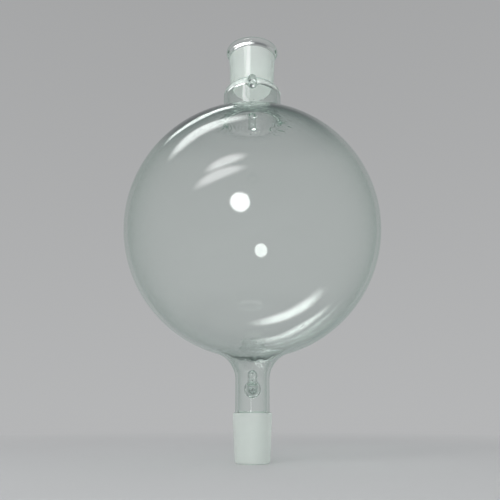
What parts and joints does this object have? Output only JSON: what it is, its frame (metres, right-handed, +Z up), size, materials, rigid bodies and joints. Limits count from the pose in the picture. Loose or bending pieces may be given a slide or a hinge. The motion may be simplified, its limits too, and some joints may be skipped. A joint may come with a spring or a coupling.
{
  "type": "solvent reservoir bottle",
  "caption": "Round-bottomed blown glass reservoir for a chromatography column, with a ground socket neck on top, a ground cone outlet below and fused glass horns on both necks.",
  "frame": {"origin": "on the axis, at the wide end of the ground cone below the ball", "axes": "+Z up along the axis from the cone to the mouth, +Y from the front pair of horns to the back pair, +X to the right when seen from the front"},
  "size_m": [0.1679, 0.168, 0.2836],
  "materials": {
    "clear_glass": "clear, fire-polished borosilicate glass",
    "ground_glass": "finely ground, matt and milky, on the cone's outside and in the socket"
  },
  "bodies": {
    "root": {"reservoir": "clear_glass"}
  },
  "joints": []
}
